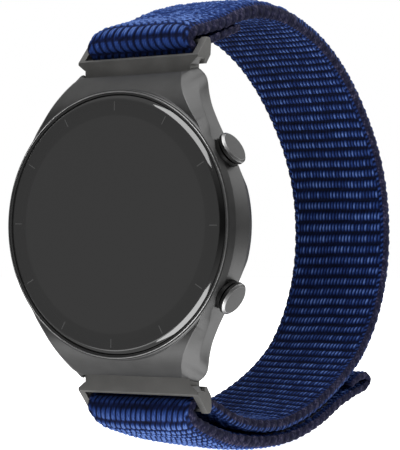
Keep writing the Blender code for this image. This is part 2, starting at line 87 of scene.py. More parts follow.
# ---- Sizes read from the frame, in millimetres
GLASS_FRONT = -low("cover_glass").y
GLASS_RADIUS = high("cover_glass").x
CASE_FRONT = -low("case").y
CASE_RADIUS = high("case").x
BAR_MIDDLE = (low("upper_bar_barrel") + high("upper_bar_barrel")) / 2
STRAP_HALF = high("strap_loop").x

# ---- Steps of the fine meshes, and the least angle in degrees of a sharp edge
CASE_COLUMNS = 720
TURN_STEPS = 128
RIM_STEPS = 720
SHARP_ANGLE = 38


# ================ mesh helpers

def link(name, data):
    thing = bpy.data.objects.new(name, data)
    bpy.context.scene.collection.objects.link(thing)
    return thing


def quad_mesh(name, points, quads, caps=()):
    """A mesh from an array of points in millimetres, an array of quads and a few many-sided caps."""
    corners = [quads.ravel(), *[np.asarray(cap) for cap in caps]]
    sizes = np.array([4] * len(quads) + [len(cap) for cap in caps])
    mesh = bpy.data.meshes.new(name)
    mesh.vertices.add(len(points))
    mesh.vertices.foreach_set("co", (points * MM).astype(np.float32).ravel())
    loops = np.concatenate(corners).astype(np.int32)
    mesh.loops.add(len(loops))
    mesh.loops.foreach_set("vertex_index", loops)
    mesh.polygons.add(len(sizes))
    mesh.polygons.foreach_set("loop_start", np.concatenate([[0], np.cumsum(sizes)[:-1]]).astype(np.int32))
    mesh.update(calc_edges=True)
    mesh.validate()
    return mesh


def sheet_quads(rows, columns, wrap_rows=False):
    """Quads of a grid whose columns close into a ring, with its rows open or closed too."""
    row = np.arange(rows if wrap_rows else rows - 1)[:, None]
    column = np.arange(columns)[None, :]
    after_row, after_column = (row + 1) % rows, (column + 1) % columns
    corners = [row * columns + column, row * columns + after_column,
               after_row * columns + after_column, after_row * columns + column]
    return np.stack(corners, axis=-1).reshape(-1, 4)


def end_caps(rows, columns):
    """Many-sided caps for the first and last row of a grid from sheet_quads."""
    return [np.arange(columns), np.arange(columns)[::-1] + (rows - 1) * columns]


def from_bmesh(name, builder):
    bmesh.ops.recalc_face_normals(builder, faces=builder.faces)
    mesh = bpy.data.meshes.new(name)
    builder.to_mesh(mesh)
    builder.free()
    return link(name, mesh)


def outward(name, mesh):
    """A thing from a closed mesh, with its faces turned outwards."""
    builder = bmesh.new()
    builder.from_mesh(mesh)
    return from_bmesh(name, builder)


def shade(thing, sharp_degrees=None):
    """Smooth shading with flat faces kept flat, and optionally with sharp edges above an angle."""
    thing.data.shade_smooth()
    if sharp_degrees:
        thing.data.set_sharp_from_angle(angle=math.radians(sharp_degrees))
    weighted = thing.modifiers.new("weighted", "WEIGHTED_NORMAL")
    weighted.keep_sharp = True
    return thing


def rounded(points, radius, steps=3):
    """A profile with each inner corner replaced by a small curve, in the units of the points."""
    line = [points[0]]
    for before, corner, after in zip(points, points[1:], points[2:]):
        a, b, c = Vector(before), Vector(corner), Vector(after)
        reach = min(radius, 0.42 * (a - b).length, 0.42 * (c - b).length)
        start, end = b + (a - b).normalized() * reach, b + (c - b).normalized() * reach
        for i in range(steps + 1):
            t = i / steps
            line.append(tuple(start * (1 - t) ** 2 + b * 2 * t * (1 - t) + end * t * t))
    line.append(points[-1])
    return line


def turned(name, profile, place, radius=0.08, steps=TURN_STEPS):
    """A turned piece from a (radius, height) profile in millimetres, closed or ending on the axis."""
    profile = rounded(profile, radius)
    builder = bmesh.new()
    verts = [builder.verts.new((r * MM, 0.0, h * MM)) for r, h in profile]
    edges = [builder.edges.new(pair) for pair in zip(verts, verts[1:])]
    if profile[0][0] > 0:
        edges.append(builder.edges.new((verts[-1], verts[0])))
    bmesh.ops.spin(builder, geom=[*verts, *edges], cent=(0, 0, 0), axis=(0, 0, 1), angle=math.tau,
                   steps=steps, use_merge=True)
    bmesh.ops.remove_doubles(builder, verts=builder.verts, dist=0.002 * MM)
    bmesh.ops.transform(builder, matrix=place, verts=builder.verts)
    return shade(from_bmesh(name, builder))


def slab(name, corners, way):
    """A flat face through corners in millimetres, extruded by the vector way."""
    builder = bmesh.new()
    face = builder.faces.new([builder.verts.new([c * MM for c in corner]) for corner in corners])
    grown = bmesh.ops.extrude_face_region(builder, geom=[face])["geom"]
    bmesh.ops.translate(builder, vec=[c * MM for c in way],
                        verts=[v for v in grown if isinstance(v, bmesh.types.BMVert)])
    return from_bmesh(name, builder)


def prism(name, outline, left, right):
    """A side-view outline, (y, z) in millimetres, extruded across the head from left to right."""
    return slab(name, [(left, y, z) for y, z in outline], (right - left, 0, 0))


def add_block(builder, place, size):
    """Add a block, its size in millimetres, with its middle at a place."""
    bmesh.ops.create_cube(builder, size=1.0, matrix=place @ Matrix.Diagonal((*[s * MM for s in size], 1)))


def rod(name, radius, start, end, steps=32):
    """A cylinder between two points of the row frame, in millimetres."""
    start, end = Vector(start) * MM, Vector(end) * MM
    builder = bmesh.new()
    turn = (end - start).to_track_quat("Z", "Y").to_matrix().to_4x4()
    place = Matrix.Translation((start + end) / 2) @ turn
    bmesh.ops.create_cone(builder, cap_ends=True, segments=steps, radius1=radius * MM, radius2=radius * MM,
                          depth=(end - start).length, matrix=place)
    return from_bmesh(name, builder)


def applied(thing):
    """Make a thing's modifiers part of its mesh."""
    depsgraph = bpy.context.evaluated_depsgraph_get()
    mesh = bpy.data.meshes.new_from_object(thing.evaluated_get(depsgraph))
    thing.modifiers.clear()
    thing.data = mesh


def cut(thing, *cutters, operation="DIFFERENCE"):
    """Take cutters out of a thing, or join them to it, and remove them."""
    for cutter in cutters:
        modifier = thing.modifiers.new("cut", "BOOLEAN")
        modifier.operation = operation
        modifier.solver = "EXACT"
        modifier.object = cutter
    applied(thing)
    for cutter in cutters:
        bpy.data.objects.remove(cutter, do_unlink=True)


def smooth_line(points, step):
    """Catmull-Rom line through points, in equal steps of its first two coordinates.

    Returns the line, the distance along it at each of its points, and the distance to each point given.
    """
    points, parts = np.array(points, float), 60
    walk = np.vstack([2 * points[0] - points[1], points, 2 * points[-1] - points[-2]])
    fine, t = [], np.linspace(0, 1, parts, endpoint=False)[:, None]
    for p0, p1, p2, p3 in zip(walk, walk[1:], walk[2:], walk[3:]):
        fine.append(0.5 * (2 * p1 + (p2 - p0) * t + (2 * p0 - 5 * p1 + 4 * p2 - p3) * t ** 2
                           + (3 * p1 - p0 - 3 * p2 + p3) * t ** 3))
    fine = np.vstack([*fine, points[-1:]])
    along = np.concatenate([[0], np.cumsum(np.linalg.norm(np.diff(fine[:, :2], axis=0), axis=1))])
    even = np.linspace(0, along[-1], max(2, round(along[-1] / step) + 1))
    line = np.stack([np.interp(even, along, fine[:, k]) for k in range(fine.shape[1])], axis=1)
    return line, even, along[::parts]


# ================ material helpers

LOOKS = {}  # this script's materials by name


def node_tree(name):
    LOOKS[name] = material = bpy.data.materials.new(name)
    material.use_nodes = True
    tree = material.node_tree
    return tree, tree.nodes["Principled BSDF"]


def feed(tree, node, inputs):
    """Give inputs of a node plain values or other nodes' outputs."""
    for key, value in inputs.items():
        if isinstance(value, bpy.types.NodeSocket):
            tree.links.new(value, node.inputs[key])
        else:
            node.inputs[key].default_value = value


def add_node(tree, kind, inputs=None, **settings):
    """A new shader node with its inputs and settings."""
    node = tree.nodes.new(kind)
    for key, value in settings.items():
        setattr(node, key, value)
    feed(tree, node, inputs or {})
    return node


def noise(tree, place, scale, detail=3.0):
    inputs = {"Vector": place, "Scale": scale, "Detail": detail}
    return add_node(tree, "ShaderNodeTexNoise", inputs).outputs["Fac"]


def maths(tree, operation, *values):
    return add_node(tree, "ShaderNodeMath", dict(enumerate(values)), operation=operation).outputs[0]


def scaled(tree, place, factors):
    inputs = {0: place, 1: factors}
    return add_node(tree, "ShaderNodeVectorMath", inputs, operation="MULTIPLY").outputs[0]


def remapped(tree, value, old=(0.0, 1.0), new=(0.0, 1.0), **settings):
    """A value carried over from an old pair of limits to a new pair."""
    inputs = {"Value": value, "From Min": old[0], "From Max": old[1], "To Min": new[0], "To Max": new[1]}
    return add_node(tree, "ShaderNodeMapRange", inputs, **settings).outputs["Result"]


def mixed(tree, factor, a, b):
    inputs = {"Factor": factor, "A": a, "B": b}
    return add_node(tree, "ShaderNodeMix", inputs, data_type="RGBA").outputs["Result"]


def bumped(tree, height, strength, depth):
    inputs = {"Height": height, "Strength": strength, "Distance": depth * MM}
    return add_node(tree, "ShaderNodeBump", inputs).outputs["Normal"]


def ramp(tree, factor, *stops):
    """Colour ramp through (position, colour) stops."""
    node = add_node(tree, "ShaderNodeValToRGB", {"Fac": factor})
    elements = node.color_ramp.elements
    while len(elements) < len(stops):
        elements.new(1.0)
    for element, (position, colour) in zip(elements, stops):
        element.position = position
        element.color = (*colour, 1.0)
    return node.outputs["Color"]


def tint(code):
    """Linear colour of a two-digit-per-channel screen colour."""
    values = [int(code[i:i + 2], 16) / 255 for i in (0, 2, 4)]
    return tuple(v / 12.92 if v <= 0.04045 else ((v + 0.055) / 1.055) ** 2.4 for v in values)


def grey(value):
    return (value, value, value)


def millimetres(tree):
    """Object coordinates in millimetres."""
    place = add_node(tree, "ShaderNodeTexCoord").outputs["Object"]
    return add_node(tree, "ShaderNodeVectorMath", {0: place, "Scale": 1 / MM}, operation="SCALE").outputs[0]


def grained(name, colour, roughness, metallic, grain, depth, spread=0.12, extra=None):
    """A solid finish with fine grain, slow tonal drift and slightly uneven gloss."""
    tree, shader = node_tree(name)
    place = millimetres(tree)
    fine = noise(tree, place, grain, 4.0)
    slow = noise(tree, place, 0.35)
    half = maths(tree, "MULTIPLY", maths(tree, "ADD", fine, slow), 0.5)
    least, most = 0.3, 0.7  # where nearly all of the noise lies
    dark = tuple(c * (1 - spread) for c in colour)
    light = tuple(c * (1 + spread) for c in colour)
    base = ramp(tree, half, (least, dark), (most, light))
    gloss = remapped(tree, half, (least, most), (roughness * 0.88, roughness * 1.12))
    feed(tree, shader, {"Base Color": base, "Roughness": gloss, "Normal": bumped(tree, fine, 1.0, depth),
                        "Metallic": metallic, **(extra or {})})


def front_glass_material():
    """Black glass over a dark display, with a darker printed border and a black polished chamfer."""
    tree, shader = node_tree("front_glass")
    place = millimetres(tree)
    flat = scaled(tree, place, (1.0, 0.0, 1.0))
    reach = add_node(tree, "ShaderNodeVectorMath", {0: flat}, operation="LENGTH").outputs["Value"]
    share = maths(tree, "DIVIDE", reach, GLASS_RADIUS)
    display_end, border_start, border_end, chamfer_start = 0.835, 0.842, 0.962, 0.968
    base = ramp(tree, share, (0.0, grey(0.034)), (display_end, grey(0.034)), (border_start, grey(0.029)),
                (border_end, grey(0.028)), (chamfer_start, grey(0.002)))
    smeared = remapped(tree, noise(tree, place, 0.18), new=(0.03, 0.09))
    feed(tree, shader, {"Base Color": base, "Roughness": smeared, "IOR": 1.75})


# Solid finishes: colour, roughness, metallic, bumps per millimetre, their height and how far the tone drifts
FINISHES = {"gunmetal": (grey(0.1), 0.44, 1.0, 14, 0.006), "cap_metal": (grey(0.054), 0.38, 1.0, 14, 0.006),
            "bright_trim": (grey(0.36), 0.32, 1.0, 2, 0.0003),
            "adapter_black": ((0.2, 0.198, 0.192), 0.46, 1.0, 9, 0.012),
            "black_glass": (grey(0.006), 0.05, 0.0, 3, 0.0002, 0.05),
            "printed_marks": (grey(0.05), 0.5, 0.0, 12, 0.002),
            "black_plastic": (grey(0.004), 0.5, 0.0, 7, 0.01, 0.12, {"Specular IOR Level": 0.15}),
            "black_rubber": (grey(0.01), 0.8, 0.0, 6, 0.02), "steel": (grey(0.5), 0.28, 1.0, 12, 0.004),
            "gold": ((0.75, 0.55, 0.22), 0.25, 1.0, 12, 0.004),
            "board": ((0.01, 0.08, 0.03), 0.45, 0.0, 4, 0.02, 0.35),
            "cell_foil": ((0.45, 0.45, 0.47), 0.35, 0.8, 3, 0.03),
            "hook_strip": (tint("1c1a24"), 0.7, 0.0, 2.2, 0.2, 0.5),
            "pale_floor": (grey(0.95), 0.9, 0.0, 0.4, 0.01, 0.01,
                           {"Emission Strength": 1.0, "Emission Color": (1, 1, 1, 1)})}


def paint(thing, look):
    thing.data.materials.clear()
    thing.data.materials.append(LOOKS[look])
    return thing


def stand_for(thing, look, slot_name, body, *nodes):
    """Finish a piece: material, the body that carries it and the CAD nodes it stands for; slot_name is not
    used.
    """
    paint(thing, look)
    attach(thing, body)
    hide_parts(*nodes)


# ================ head

# The head's own place: height runs out through the glass, along -Y of the row frame
HEAD = Matrix(((1, 0, 0, 0), (0, 0, -1, 0), (0, 1, 0, 0), (0, 0, 0, 1)))

# Ridges of the case over one quarter, from 12 o'clock to 3 o'clock, as (x, z, height)
CREST = [(0, 25.6, 5.6), (5.0, 25.6, 5.6), (9.2, 25.6, 5.6), (10.25, 25.6, 5.65), (10.6, 25.3, 6.0),
         (10.9, 24.9, 6.45), (11.25, 24.3, 7.05), (11.6, 23.7, 7.6), (11.95, 23.1, 8.1), (12.4, 22.4, 8.55),
         (12.85, 21.7, 8.95), (13.3, 21.0, 9.2), (13.8, 20.3, 9.4), (14.25, 19.6, 9.55), (14.7, 18.9, 9.65),
         (15.15, 18.2, 9.75), (15.6, 17.5, 9.8), (16.1, 16.8, 9.85), (16.6, 16.1, 9.9), (17.1, 15.4, 9.95),
         (17.6, 14.7, 10.0), (18.1, 13.95, 10.05)]
RIDGE = [(0, 25.72, 5.25), (5.0, 25.72, 5.25), (9.6, 25.72, 5.25), (10.5, 25.75, 5.1), (10.95, 25.85, 4.7),
         (11.25, 26.15, 4.15), (11.65, 26.35, 3.7), (12.2, 26.15, 3.5), (12.7, 25.55, 3.7),
         (13.05, 25.0, 4.2), (13.35, 24.5, 4.75), (13.65, 24.0, 5.2), (13.9, 23.5, 5.65), (14.4, 22.5, 6.4),
         (14.9, 21.5, 7.05), (15.45, 20.5, 7.5), (16.0, 19.5, 7.85), (16.55, 18.5, 8.1), (17.1, 17.5, 8.35),
         (17.65, 16.5, 8.55), (18.2, 15.5, 8.75), (18.8, 14.4, 8.95), (19.5, 13.2, 9.1)]
FLANK = [(0, 25.75, 4.7), (5.0, 25.75, 4.7), (9.6, 25.75, 4.7), (10.6, 25.85, 4.2), (11.2, 26.3, 3.4),
         (11.8, 26.5, 3.05), (12.4, 26.2, 3.0), (12.8, 25.9, 3.05), (13.2, 25.5, 3.2), (13.85, 25.0, 3.45),
         (14.4, 24.3, 3.8), (14.8, 23.5, 4.15), (15.1, 22.5, 4.45), (15.5, 21.2, 4.7), (16.05, 19.6, 4.85),
         (16.95, 17.6, 4.9), (18.05, 15.4, 4.9), (19.3, 13.3, 4.95), (20.2, 11.52, 5.0)]
HEEL = [(0, 25.2, 2.6), (4.5, 25.2, 2.6), (9.4, 25.2, 2.6), (11.2, 25.9, 2.2), (12.3, 25.85, 2.15),
        (13.1, 25.2, 2.3), (13.6, 24.3, 2.45), (13.65, 23.2, 2.55), (13.75, 22.0, 2.55), (14.2, 20.5, 2.5),
        (14.95, 18.5, 2.4), (15.9, 16.5, 2.3), (17.3, 14.0, 2.2), (18.7, 11.2, 2.1), (20.0, 8.3, 2.0),
        (20.95, 5.5, 2.0)]
SOLE = [(0, 24.2, 1.75), (4.5, 24.2, 1.75), (9.4, 24.2, 1.75), (11.2, 24.6, 1.7), (12.2, 24.7, 1.7),
        (12.6, 23.8, 1.7), (12.8, 21.8, 1.65), (13.55, 19.4, 1.5), (14.75, 16.9, 1.4), (16.2, 14.3, 1.3),
        (17.9, 11.0, 1.22), (19.3, 7.3, 1.2), (20.4, 4.1, 1.2)]
HOOD_TOP, HOOD_START = 9.9, 17.0  # height of the hood's flat part, and where it starts to fall away
WALL = 22.9  # radius of the short wall between the bezel and the hood
SHOULDER = 22.72  # radius where the case front turns down
SEAT = 22.05  # radius of the glass seat
CORNER_REACH = 0.09  # how far the case's edges are rounded to each side
BUTTON_HEIGHT = -(low("upper_button_cap").y + high("upper_button_cap").y) / 2
LUG_GAP_HALF = 11.1
LUG_HOLE_RADIUS, LUG_HOLE_START, LUG_HOLE_END = 0.5, 10, 12.7
BAR_SPOT = (-2.3, 23.2)  # middle of the spring bar in the side view
COIL_WIRE, COIL_STEPS, COIL_SIDES = 0.08, 16, 8  # radius of the wire, its steps to a turn and its sides
BUTTON_COIL, BUTTON_TURNS = (22.79, 23.21), 1.5  # ends of the button springs along their axes
BAR_COIL, BAR_TURNS = (0.0, 9.05), 12
BUTTON_COIL_RADIUS, BAR_COIL_RADIUS, BAR_BORE_RADIUS = 1.25, 0.45, 0.85
PLATE_HALF, FRAME_HALF, SLOT_HALF = 10.9, 12.4, 11.2  # half widths of the adapter's root, arms and slot
OUTER_BAR, OUTER_BAR_RADIUS, OUTER_BAR_HALF = (-0.4, 31.05), 0.6, 11.8
ROOT_RADIUS, ADAPTER_BEVEL = 1.4, 0.14
ROOT = [(BAR_SPOT[0] - ROOT_RADIUS * math.cos(a), BAR_SPOT[1] - ROOT_RADIUS * math.sin(a))
        for a in map(math.radians, range(0, 181, 12))]
ADAPTER = [*ROOT, (-0.9, 27.3), (0.4, 28.9), (0.6, 31.0), (0.2, 31.8), (-0.7, 31.9), (-3.4, 28.9),
           (-3.7, 28.6)]
SLOT = [(-5.0, 28.9), (-1.9, 28.9), (-0.9, 27.6), (-0.9, 27.4), (2.0, 27.4), (2.0, 33.0), (-5.0, 33.0)]
SHOULDER_CUT = [(-5.0, 21.0), (2.0, 21.0), (2.0, 27.4), (-0.9, 27.3), (-5.0, 27.05)]
CORNER_CUT = [(10.9, 26.4), (13.2, 26.4), (13.2, 28.75), (12.4, 28.15), (10.9, 27.0)]
CORNER_DEPTH = 2.1
GAP_OUTLINE = [(2.0, 21.5), (-4.9, 21.5), (-5.15, 21.75), (-4.18, 25.6), (-4.14, 30.0), (2.0, 30.0)]

# Profiles of the turned pieces, as (radius, height); a button's height is its distance from the middle
BEZEL_TRIM = [(22.3, 10.3), (22.3, 10.62), (22.5, 10.62), (22.56, 10.3)]
BEZEL_SEAL = [(21.95, 9.8), (21.95, 10.4), (22.66, 10.4), (22.66, 9.8)]
BACK_PLATE = [(10.4, 1.55), (11.5, 1.55), (11.5, 2.3), (19.6, 2.3), (19.6, 1.1), (18.7, 0.75), (11.0, 0.3),
              (10.4, 0.3)]
SENSOR_GLASS = [(0, 2.2), (11.3, 2.2), (11.3, 1.65), (10.2, 1.65), (10.2, 0.45), (9.3, 0.0), (0, 0.0)]
COVER_SCREW = [(0, 4.3), (0.4, 4.3), (0.4, 1.55), (0.9, 1.55), (0.9, 1.0), (0, 1.0)]
CONTACT_PIN = [(0, 3.0), (0.9, 3.0), (0.9, 0.5), (0, 0.42)]
BUTTON_BORE = [(0, 30), (3.1, 30), (2.65, 23.15), (2.65, 22.3), (0.9, 22.3), (0.9, 19.0), (0, 19.0)]
PUSH_CAP = [(0, 25.1), (2.5, 25.1), (2.9, 24.78), (2.9, 24.2), (1.75, 24.2), (1.75, 23.75), (1.5, 23.72),
            (1.5, 23.4), (1.75, 23.37), (1.75, 23.3), (0.8, 23.3), (0.8, 20.2), (0.55, 20.15), (0.55, 19.85),
            (0.8, 19.8), (0.8, 19.4), (0, 19.4)]
PUSH_FACE = 24.75  # where the cap's black side ends
PUSH_SLEEVE = [(2.05, 23.8), (2.6, 23.8), (2.6, 22.4), (0.95, 22.4), (0.95, 22.7), (2.05, 22.7)]
HOUR_MARK, HOUR_MARK_RADIUS, HOUR_MARK_TURN = (0.16, 0.012, 1.5), 19.94, 1.05
SCREW_CIRCLE, SCREW_ANGLES = 18.2, (48, 132, 228, 312)
RECESS, RECESS_HEIGHT = (1.1, 0.22, 0.5), 1.1
CONTACT_X, CONTACT_Z = 3.0, -14.5
SINK_RADIUS, SINK_START, SCREW_SINK, CONTACT_SINK = 1.0, 0.5, -1.65, -3.0  # holes in the cover, by their y


def ridge_line(points, radius, height, angle):
    """Radius and height of a ridge at each angle from 12 o'clock, with a plain circle past its end."""
    line, _, _ = smooth_line(points, 0.1)
    turn = np.arctan2(line[:, 0], line[:, 1])
    order = np.argsort(turn)
    reach = np.hypot(line[:, 0], line[:, 1])
    end = turn[order][-1]
    blend = np.clip((angle - end + 0.16) / 0.16, 0, 1)
    blend = blend * blend * (3 - 2 * blend)
    r = np.interp(angle, turn[order], reach[order]) * (1 - blend) + radius * blend
    h = np.interp(angle, turn[order], line[order, 2]) * (1 - blend) + height * blend
    return r, h


def hood_height(z):
    """Height of the hood's face at a distance above the head's middle, the same right across."""
    return HOOD_TOP - 0.0197 * np.maximum(z - HOOD_START, 0) ** 2.5


def case_shell():
    """The case as one lofted ring: seat, bezel wall, hood, light facet, side, taper and back seat."""
    angle = np.arange(CASE_COLUMNS) * math.tau / CASE_COLUMNS
    quarter = np.arcsin(np.abs(np.sin(angle)))
    crest = ridge_line(CREST, SHOULDER + 0.06, CASE_FRONT - 0.12, quarter)
    ridge = ridge_line(RIDGE, CASE_RADIUS, 9.2, quarter)
    flank = ridge_line(FLANK, CASE_RADIUS, 5.0, quarter)
    heel = ridge_line(HEEL, 21.95, 2.0, quarter)
    sole = ridge_line(SOLE, 21.0, 1.2, quarter)

    def ring(radius, height):
        return np.full_like(angle, radius), np.full_like(angle, height)

    def between(a, b, t):
        return a[0] + (b[0] - a[0]) * t, a[1] + (b[1] - a[1]) * t

    def towards(corner, other):
        away = np.maximum(np.hypot(other[0] - corner[0], other[1] - corner[1]), 0.25)
        return between(corner, other, CORNER_REACH / away)

    crest_z = crest[0] * np.cos(quarter)
    crest = crest[0], np.where(crest_z > HOOD_START, hood_height(crest_z), crest[1])
    room = np.clip((crest[0] - WALL) / 0.25, 0, 1)
    lip = np.minimum(crest[0] - 0.06, SHOULDER + 0.08), np.full_like(angle, CASE_FRONT - 0.07)
    foot_radius = np.minimum(crest[0] - 0.03, WALL)
    foot_height = crest[1] + (hood_height(foot_radius * np.cos(quarter)) - crest[1]) * room
    foot = foot_radius, np.minimum(foot_height, lip[1] - 0.02)
    rows = [ring(20.3, 9.2), ring(SEAT, 9.2), ring(SEAT, CASE_FRONT - 0.05), ring(SEAT + 0.05, CASE_FRONT),
            ring(SHOULDER - 0.05, CASE_FRONT)]
    rows += [lip, between(lip, foot, 0.9), foot]
    spread = crest[1] - hood_height(crest_z)
    for t in np.linspace(0.04, 0.94, 12):
        radius = foot[0] + (crest[0] - foot[0]) * t
        height = hood_height(radius * np.cos(quarter)) + spread * t
        straight = (crest[1] - foot[1]) * t
        rows.append((radius, foot[1] + straight + room * (height - foot[1] - straight)))
    corners = [rows[-1], crest, ridge, flank, heel, sole, ring(19.85, 1.2)]
    for before, corner, after in zip(corners, corners[1:], corners[2:]):
        start, end = towards(corner, before), towards(corner, after)
        rows.append(start)
        rows.append(tuple(0.25 * start[k] + 0.5 * corner[k] + 0.25 * end[k] for k in (0, 1)))
        rows.append(end)
        rows += [between(end, after, t) for t in (0.3, 0.6)]
    rows += [ring(19.85, 1.2), ring(19.8, 2.6), ring(18.4, 2.6), ring(18.4, 3.4), ring(20.3, 3.4)]
    radius, height = (np.array([row[k] for row in rows]) for k in (0, 1))
    points = np.stack([radius * np.sin(angle), -height, radius * np.cos(angle)], axis=-1)
    quads = sheet_quads(len(rows), CASE_COLUMNS, wrap_rows=True)
    return outward("case_body", quad_mesh("case_body", points.reshape(-1, 3), quads))


def button_place(word):
    """Matrix of a frame whose Z axis runs out along a button from the head's middle."""
    axis = Vector(next(j["axis"] for j in frame["joints"] if j["name"] == f"{word}_button_press"))
    out = -axis.normalized()
    middle = Vector((0, -BUTTON_HEIGHT * MM, 0))
    back = Vector((0, 1, 0))
    return Matrix((*zip(back, back.cross(out), out, middle), (0, 0, 0, 1)))


def build_case():
    case = case_shell()
    cutters = []
    for side in (1, -1):
        outline = [(y, side * z) for y, z in GAP_OUTLINE]
        cutters.append(prism("gap", outline, -LUG_GAP_HALF, LUG_GAP_HALF))
        for hand in (1, -1):
            ends = [(hand * x, BAR_MIDDLE.y, side * BAR_MIDDLE.z) for x in (LUG_HOLE_START, LUG_HOLE_END)]
            cutters.append(rod("hole", LUG_HOLE_RADIUS, *ends, 24))
    for word in ("upper", "lower"):
        cutters.append(turned("bore", BUTTON_BORE, button_place(word), 0.01, 64))
    cut(case, *cutters)
    shade(case, SHARP_ANGLE)
    stand_for(case, "gunmetal", "gunmetal", "watch", "case")


def build_front():
    bezel = turned("bezel_trim", BEZEL_TRIM, HEAD, 0.06, RIM_STEPS)
    stand_for(bezel, "bright_trim", "bright_metal", "watch", "bezel_ring")
    seal = turned("bezel_seal", BEZEL_SEAL, HEAD, 0.05, RIM_STEPS)
    paint(seal, "black_rubber")
    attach(seal, "watch")
    front, edge = GLASS_FRONT, GLASS_RADIUS
    profile = [(0, front - 1.3), (edge, front - 1.3), (edge, front - 0.55), (edge - 0.75, front), (0, front)]
    cover = turned("glass_cover", profile, HEAD, 0.14, RIM_STEPS)
    stand_for(cover, "front_glass", "glass_black", "watch", "cover_glass")
    builder = bmesh.new()
    for hour in range(12):
        turn = Matrix.Rotation(math.radians(30 * hour + HOUR_MARK_TURN), 4, "Y")
        place = turn @ Matrix.Translation((0, -(front + 0.004) * MM, HOUR_MARK_RADIUS * MM))
        add_block(builder, place, HOUR_MARK)
    printed = from_bmesh("hour_marks", builder)
    paint(printed, "printed_marks")
    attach(printed, "watch")


def build_back():
    cover = turned("back_plate", BACK_PLATE, HEAD, 0.12)
    angles = map(math.radians, SCREW_ANGLES)
    spots = [(SCREW_CIRCLE * math.cos(a), SCREW_CIRCLE * math.sin(a)) for a in angles]
    sinks = [rod("sink", SINK_RADIUS, (x, SINK_START, z), (x, SCREW_SINK, z)) for x, z in spots]
    for x in (-CONTACT_X, CONTACT_X):
        sinks.append(rod("sink", SINK_RADIUS, (x, SINK_START, CONTACT_Z), (x, CONTACT_SINK, CONTACT_Z)))
    cut(cover, *sinks)
    shade(cover, SHARP_ANGLE)
    stand_for(cover, "gunmetal", "gunmetal", "watch", "back_cover")
    window = turned("sensor_glass", SENSOR_GLASS, HEAD, 0.1)
    stand_for(window, "black_glass", "glass_black", "watch", "sensor_window")
    for number, (x, z) in enumerate(spots, start=1):
        place = HEAD @ Matrix.Translation((x * MM, z * MM, 0))
        screw = turned(f"cover_screw_{number}", COVER_SCREW, place, 0.06, 48)
        slots = []
        for turn in (0, 90):
            spin = Matrix.Rotation(math.radians(turn + 20 * number), 4, "Z")
            builder = bmesh.new()
            add_block(builder, place @ Matrix.Translation((0, 0, RECESS_HEIGHT * MM)) @ spin, RECESS)
            slots.append(from_bmesh("recess", builder))
        cut(screw, *slots)
        shade(screw, SHARP_ANGLE)
        stand_for(screw, "steel", "steel", "watch", f"back_screw_{number}")
    for x, word in ((-CONTACT_X, "left"), (CONTACT_X, "right")):
        place = HEAD @ Matrix.Translation((x * MM, CONTACT_Z * MM, 0))
        pin = turned(f"contact_pin_{word}", CONTACT_PIN, place, 0.1, 48)
        stand_for(pin, "gold", "gold", "watch", f"charge_contact_{word}")


def build_buttons():
    for word in ("upper", "lower"):
        place = button_place(word)
        cap = turned(f"{word}_push_cap", PUSH_CAP, place, 0.06, 96)
        stand_for(cap, "cap_metal", "gunmetal", f"{word}_button", f"{word}_button_cap")
        cap.data.materials.append(LOOKS["black_plastic"])
        cap.data.materials.append(LOOKS["bright_trim"])
        axis, middle = place.col[2].xyz, place.translation
        for face in cap.data.polygons:
            out = (face.center - middle).dot(axis)
            slope = face.normal.dot(axis)
            face.material_index = 1 if out < PUSH_FACE * MM else 2 if slope < 0.98 else 0
        guide = turned(f"{word}_push_sleeve", PUSH_SLEEVE, place, 0.05, 96)
        stand_for(guide, "black_plastic", "plastic_black", "watch", f"{word}_button_guide")


def coil(name, radius, first, last, turns, place):
    """A coil spring of round wire along the place's own z axis, from first to last."""
    t = np.linspace(0, 1, round(turns * COIL_STEPS) + 1)[:, None]
    a = (np.arange(COIL_SIDES) * math.tau / COIL_SIDES)[None, :]
    spin = t * turns * math.tau
    reach = radius + COIL_WIRE * np.cos(a)
    rise = first + (last - first) * t + COIL_WIRE * np.sin(a)
    points = np.stack([reach * np.cos(spin), reach * np.sin(spin), rise], axis=-1)
    quads, caps = sheet_quads(len(t), COIL_SIDES), end_caps(len(t), COIL_SIDES)
    mesh = quad_mesh(name, points.reshape(-1, 3), quads, caps)
    mesh.transform(place)
    thing = outward(name, mesh)
    thing.data.shade_smooth()
    return thing


def build_springs():
    """The springs: wire coils in place of the CAD springs, each between the watch and the piece that presses
    it.
    """
    for word, side in (("upper", 1), ("lower", -1)):
        place = button_place(word)
        spring = coil(f"{word}_button_coil", BUTTON_COIL_RADIUS, *BUTTON_COIL, BUTTON_TURNS, place)
        paint(spring, "steel")
        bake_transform(spring)
        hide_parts(f"{word}_button_spring")
        for hand, label in ((-1, "left"), (1, "right")):
            spot = Matrix.Translation((0, BAR_SPOT[0] * MM, side * BAR_SPOT[1] * MM))
            half_turn = Matrix.Rotation(math.pi * (hand < 0), 4, "Z")
            place = spot @ half_turn @ Matrix.Rotation(math.pi / 2, 4, "Y")
            spring = coil(f"{word}_bar_coil_{label}", BAR_COIL_RADIUS, *BAR_COIL, BAR_TURNS, place)
            paint(spring, "steel")
            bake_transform(spring)
            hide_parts(f"{word}_bar_spring")


